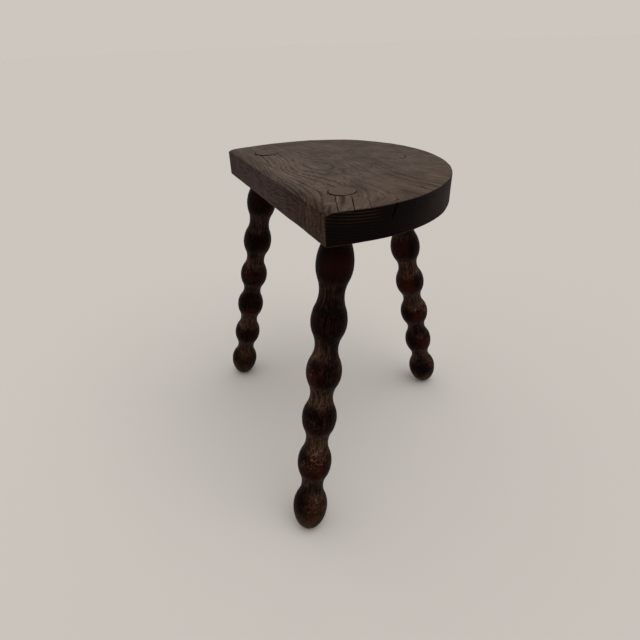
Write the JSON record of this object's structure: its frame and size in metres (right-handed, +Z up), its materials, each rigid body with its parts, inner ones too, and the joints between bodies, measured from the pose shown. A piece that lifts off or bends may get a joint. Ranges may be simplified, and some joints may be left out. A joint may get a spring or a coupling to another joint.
{
  "type": "milking stool",
  "caption": "Low wooden milking stool with a half-moon plank seat and splayed bobbin-turned legs, tenoned right through the seat.",
  "frame": {"origin": "on the floor, under the middle of the stool's overall box", "axes": "+Z up; X along the straight front edge of the seat; +Y from that edge to the half-round back"},
  "size_m": [0.2884, 0.2542, 0.3],
  "materials": {
    "weathered_oak": "old dry oak, worn grey-brown on top and nearly black on the edge",
    "dark_turned_wood": "dark stained turned wood with a waxed satin sheen, rubbed lighter in the hollows"
  },
  "bodies": {
    "root": {"seat_board": "weathered_oak", "leg_front_right": "dark_turned_wood", "leg_front_left": "dark_turned_wood", "leg_back": "dark_turned_wood"}
  },
  "joints": []
}
